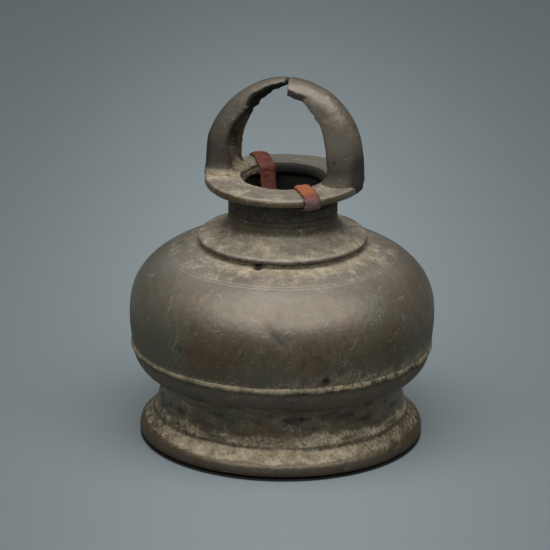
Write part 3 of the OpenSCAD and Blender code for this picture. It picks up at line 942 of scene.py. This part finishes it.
class Shader:
    """A material under construction. Coordinates are the object's own, in metres."""

    def __init__(self, name):
        self.material = bpy.data.materials.new(name)
        self.material.use_nodes = True
        self.nodes = self.material.node_tree.nodes
        self.surface = self.nodes["Principled BSDF"]
        self.place = self.nodes.new("ShaderNodeTexCoord").outputs["Object"]

    def link(self, source, socket):
        self.material.node_tree.links.new(source, socket)

    def feed(self, value, socket):
        """Links an output, or sets a plain value. Three numbers are a colour as it looks on a screen."""
        if isinstance(value, bpy.types.NodeSocket):
            self.link(value, socket)
        elif isinstance(value, tuple):
            socket.default_value = (*linear(value), 1)
        else:
            socket.default_value = value

    def noise(self, size, detail=3, roughness=0.55):
        node = self.nodes.new("ShaderNodeTexNoise")
        node.inputs["Scale"].default_value = 1 / size
        node.inputs["Detail"].default_value = detail
        node.inputs["Roughness"].default_value = roughness
        self.link(self.place, node.inputs["Vector"])
        return node.outputs["Fac"]

    def mask(self, name):
        node = self.nodes.new("ShaderNodeAttribute")
        node.attribute_name = name
        return node.outputs["Fac"]

    def step(self, value, low, high, start=0, stop=1):
        """A smooth step of value, from start at low to stop at high."""
        node = self.nodes.new("ShaderNodeMapRange")
        node.interpolation_type = "SMOOTHSTEP"
        self.feed(value, node.inputs["Value"])
        for key, number in (("From Min", low), ("From Max", high), ("To Min", start), ("To Max", stop)):
            node.inputs[key].default_value = number
        return node.outputs["Result"]

    def maths(self, operation, a, b):
        node = self.nodes.new("ShaderNodeMath")
        node.operation = operation
        self.feed(a, node.inputs[0])
        self.feed(b, node.inputs[1])
        return node.outputs["Value"]

    def mix(self, factor, a, b, blend="MIX"):
        node = self.nodes.new("ShaderNodeMix")
        node.data_type = "RGBA"
        node.blend_type = blend
        self.feed(factor, node.inputs["Factor"])
        self.feed(a, node.inputs["A"])
        self.feed(b, node.inputs["B"])
        return node.outputs["Result"]

    def tint(self, colour, mask, share, over):
        """The colour with another over it where a mask is, up to share."""
        return self.mix(self.maths("MULTIPLY", mask, share), colour, over)

    def bump(self, height, distance, strength=1):
        node = self.nodes.new("ShaderNodeBump")
        node.inputs["Distance"].default_value = distance
        node.inputs["Strength"].default_value = strength
        self.link(height, node.inputs["Height"])
        return node.outputs["Normal"]

    def hairlines(self, size, width):
        """1 along fine curving lines, about size apart, and 0 between them."""
        away = self.maths("SUBTRACT", self.noise(size, 2, 0.4), 0.5)
        return self.step(self.maths("ABSOLUTE", away, 0), width, 0)

    def radius(self, centre=(0, 0)):
        """How far a point is from an upright axis through centre."""
        level = self.nodes.new("ShaderNodeVectorMath")
        level.operation = "MULTIPLY_ADD"
        level.inputs[1].default_value = (1, 1, 0)
        level.inputs[2].default_value = (-centre[0], -centre[1], 0)
        self.link(self.place, level.inputs[0])
        length = self.nodes.new("ShaderNodeVectorMath")
        length.operation = "LENGTH"
        self.link(level.outputs["Vector"], length.inputs[0])
        return length.outputs["Value"]

    def turned_line(self, radius, width):
        """1 along a circle round the bell's axis, wandering a little, and 0 beside it."""
        wander = self.step(self.noise(0.02, 2), 0.3, 0.7, radius - 0.15 * MM, radius + 0.15 * MM)
        away = self.maths("ABSOLUTE", self.maths("SUBTRACT", self.radius(), wander), 0)
        return self.step(away, width, 0)

    def set(self, **values):
        for key, value in values.items():
            self.feed(value, self.surface.inputs[key.replace("_", " ")])


def bronze_material():
    """Old bronze: brown-grey patina, worn smoother and lighter, olive and green tints, pale crust. The
    wear mask also carries painted light on tops and near edges, and the dark mask carries painted shade.
    """
    m = Shader("worn_bronze")
    broad = m.step(m.noise(0.024, 3), 0.35, 0.65)
    colour = m.mix(broad, (91, 77, 51), (104, 90, 67))
    reddish = m.step(m.noise(0.014, 3, 0.5), 0.50, 0.68, 0, 0.45)
    colour = m.mix(reddish, colour, (112, 76, 52))
    mottle = m.step(m.noise(0.0034, 5, 0.65), 0.38, 0.66, 0, 0.5)
    colour = m.mix(mottle, colour, (63, 56, 38))
    colour = m.tint(colour, m.mask("green"), 0.6, (92, 96, 76))
    # Grey wear, with painted light from the same mask on tops, the upper bulb and the arms' near edges.
    colour = m.tint(colour, m.mask("worn"), 0.8, (158, 150, 138))
    fleck = m.step(m.noise(0.0012, 4, 0.7), 0.58, 0.68, 0, 0.4)
    colour = m.mix(fleck, colour, (158, 149, 128))
    speck = m.step(m.noise(0.0009, 3, 0.6), 0.35, 0.27, 0, 0.65)
    colour = m.mix(speck, colour, (46, 41, 31))
    patches = m.step(m.noise(0.011, 2), 0.44, 0.56)
    hairs = m.maths("MULTIPLY", m.hairlines(0.007, 0.007), patches)
    colour = m.tint(colour, hairs, 0.7, (176, 172, 156))
    outer_line, inner_line, width = 45.6 * MM, 44.3 * MM, 0.32 * MM
    lines = m.maths("MAXIMUM", m.turned_line(outer_line, width), m.turned_line(inner_line, width))
    lines = m.maths("MULTIPLY", lines, m.mask("lines"))
    colour = m.tint(colour, lines, 0.6, (182, 172, 148))
    grain = m.noise(0.0010, 6, 0.72)
    blotch = m.noise(0.0045, 4, 0.6)
    pale = m.mix(m.step(blotch, 0.35, 0.65), (156, 140, 111), (193, 180, 153))
    pale = m.mix(m.step(grain, 0.50, 0.34, 0, 0.75), pale, (92, 80, 60))
    edge = m.maths("ADD", m.mask("crust"), m.step(grain, 0.28, 0.72, -0.30, 0.30))
    edge = m.maths("ADD", edge, m.step(blotch, 0.3, 0.7, -0.08, 0.08))
    crust = m.step(edge, 0.05, 1, 0, 0.92)
    colour = m.mix(crust, colour, pale)
    # The dark mask: dark patina in pits, grooves and breaks, and painted shade in hollows, insides and
    # under overhangs.
    shade = m.step(m.mask("dark"), 0, 1, 0, 0.95)
    colour = m.mix(shade, colour, (26, 23, 17))
    rough = m.step(m.noise(0.003, 4), 0.3, 0.7, 0.31, 0.42)
    rough = m.maths("ADD", rough, m.maths("MULTIPLY", m.maths("MAXIMUM", crust, shade), 0.65))
    metal = m.step(m.maths("MAXIMUM", crust, shade), 0, 0.8, 0.4, 0)
    fine = m.maths("ADD", m.noise(0.0007, 4, 0.6), m.maths("MULTIPLY", m.noise(0.0025, 3), 1.2))
    relief = m.maths("SUBTRACT", fine, m.maths("MULTIPLY", m.maths("ADD", hairs, lines), 0.4))
    relief = m.maths("ADD", relief, m.maths("MULTIPLY", m.maths("MULTIPLY", grain, crust), 2))
    m.set(Base_Color=colour, Roughness=rough, Metallic=metal, Normal=m.bump(relief, 0.00011, 0.7))
    m.surface.inputs["Specular IOR Level"].default_value = 0.75
    return m.material


def crust_material():
    """Pale chalky solder and casting skin, with dark grains."""
    m = Shader("pale_crust")
    grain = m.noise(0.0011, 6, 0.75)
    colour = m.mix(m.step(grain, 0.3, 0.7), (118, 104, 79), (174, 163, 134))
    colour = m.mix(m.step(m.noise(0.006, 3), 0.42, 0.62, 0, 0.6), colour, (116, 108, 86))
    colour = m.mix(m.step(m.mask("dark"), 0, 1, 0, 0.9), colour, (44, 38, 29))
    bare = m.step(m.mask("crust"), 0.6, 0.1, 0, 0.8)
    colour = m.mix(bare, colour, (92, 82, 64))
    rough = m.step(grain, 0.3, 0.7, 0.7, 0.95)
    m.set(Base_Color=colour, Roughness=rough, Normal=m.bump(grain, 0.0003, 0.9))
    return m.material


def leather_material():
    """Dry red-brown hide, with painted orange light on the top of the front run and greyer on that
    run's sides, pale scuffs and a fine grain.
    """
    m = Shader("red_brown_leather")
    colour = m.mix(m.step(m.noise(0.004, 4), 0.35, 0.65), (108, 52, 39), (132, 74, 58))
    colour = m.mix(m.step(m.noise(0.0016, 4, 0.7), 0.52, 0.68, 0, 0.6), colour, (66, 34, 27))
    # Painted orange light on the front run's top.
    colour = m.tint(colour, m.mask("sunlit"), 0.8, (178, 108, 66))
    colour = m.tint(colour, m.mask("dusty"), 0.75, (98, 84, 76))
    pale = m.maths("ADD", m.noise(0.0008, 4, 0.7), m.maths("MULTIPLY", m.mask("scuffed"), 0.22))
    colour = m.mix(m.step(pale, 0.62, 0.80, 0, 0.65), colour, (186, 156, 138))
    grain = m.maths("ADD", m.noise(0.0006, 5, 0.65), m.noise(0.0022, 3))
    rough = m.step(m.noise(0.003, 3), 0.3, 0.7, 0.36, 0.62)
    m.set(Base_Color=colour, Roughness=rough, Normal=m.bump(grain, 0.0003, 0.9))
    return m.material


def iron_material():
    """Forged iron under brown rust, dark scale left in patches."""
    m = Shader("forged_iron")
    rust = m.step(m.noise(0.003, 5, 0.7), 0.35, 0.65)
    colour = m.mix(rust, (58, 50, 44), (98, 66, 46))
    colour = m.mix(m.step(m.noise(0.0009, 4, 0.7), 0.58, 0.68, 0, 0.6), colour, (140, 92, 58))
    colour = m.tint(colour, m.mask("scale"), 0.6, (44, 42, 42))
    colour = m.tint(colour, m.mask("dark"), 0.6, (30, 24, 20))
    relief = m.noise(0.0008, 6, 0.7)
    metal = m.step(rust, 0, 0.7, 0.5, 0)
    rough = m.step(rust, 0, 1, 0.5, 0.85)
    m.set(Base_Color=colour, Metallic=metal, Roughness=rough, Normal=m.bump(relief, 0.0002))
    return m.material


def paper_material():
    """Pale blue-grey studio paper with a painted pool of light, lighter in a wide pool, and a painted
    contact shadow under the foot's edge: a dark disc that is moved a little to the front."""
    m = Shader("studio_paper")
    ball = m.nodes.new("ShaderNodeTexGradient")
    ball.gradient_type = "QUADRATIC_SPHERE"
    spread = m.nodes.new("ShaderNodeMapping")
    spread.vector_type = "TEXTURE"
    pool_reach, pool_behind = (0.34, 1.45, 1), 0.2
    spread.inputs["Scale"].default_value = pool_reach
    spread.inputs["Rotation"].default_value = (0, 0, FACING + math.pi / 2)
    place = (-pool_behind * math.cos(FACING), -pool_behind * math.sin(FACING), 0)
    spread.inputs["Location"].default_value = place
    m.link(m.place, spread.inputs["Vector"])
    m.link(spread.outputs["Vector"], ball.inputs["Vector"])
    # A painted pool of light, lighter towards its middle.
    painted_light_pool = m.step(ball.outputs["Fac"], 0.2, 1)
    colour = m.mix(painted_light_pool, (113, 122, 125), (154, 165, 167))
    points = node_points("foot_skirt")
    lowest = points[points[:, 2] < 3 * MM, :2]
    foot = float(np.linalg.norm(lowest, axis=1).max())
    shift = 1.8 * MM
    under = m.radius((shift * math.cos(FACING), shift * math.sin(FACING)))
    # A painted contact shadow: a dark disc under the foot's edge, moved a little to the front.
    painted_contact_shadow = m.step(under, foot + 0.3 * MM, foot - 0.6 * MM)
    colour = m.mix(painted_contact_shadow, colour, (16, 17, 16))
    m.set(Base_Color=colour, Roughness=0.9)
    return m.material


def paint():
    """Gives every piece its material."""
    finishes = {
        "bronze": bronze_material(),
        "crust": crust_material(),
        "leather": leather_material(),
        "iron": iron_material(),
    }
    for piece in PIECES.values():
        piece.data.materials.clear()
        piece.data.materials.append(finishes[piece["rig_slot"]])


# ---------------- floor and the whole model

def make_floor():
    half = 3
    corners = [(-half, -half, 0), (half, -half, 0), (half, half, 0), (-half, half, 0)]
    mesh = bpy.data.meshes.new("floor")
    mesh.from_pydata(corners, [], [(0, 1, 2, 3)])
    floor = placed("floor", mesh)
    mesh.materials.append(paper_material())


make_camera()
make_lights()
make_floor()
make_foot()
make_ridge_bead()
make_dome()
make_collar_filler()
make_crown()
make_flange()
make_handle()
make_solder_lump()
make_loop("front_strap_loop", "front_loop", sign=-1, slant=0, rim_slant=1.3 * MM, seed=161)
make_loop("rear_strap_loop", "rear_loop", sign=1, slant=REAR_SLANT, rim_slant=0, seed=165)
make_hanging_thong()
make_clapper()
paint()
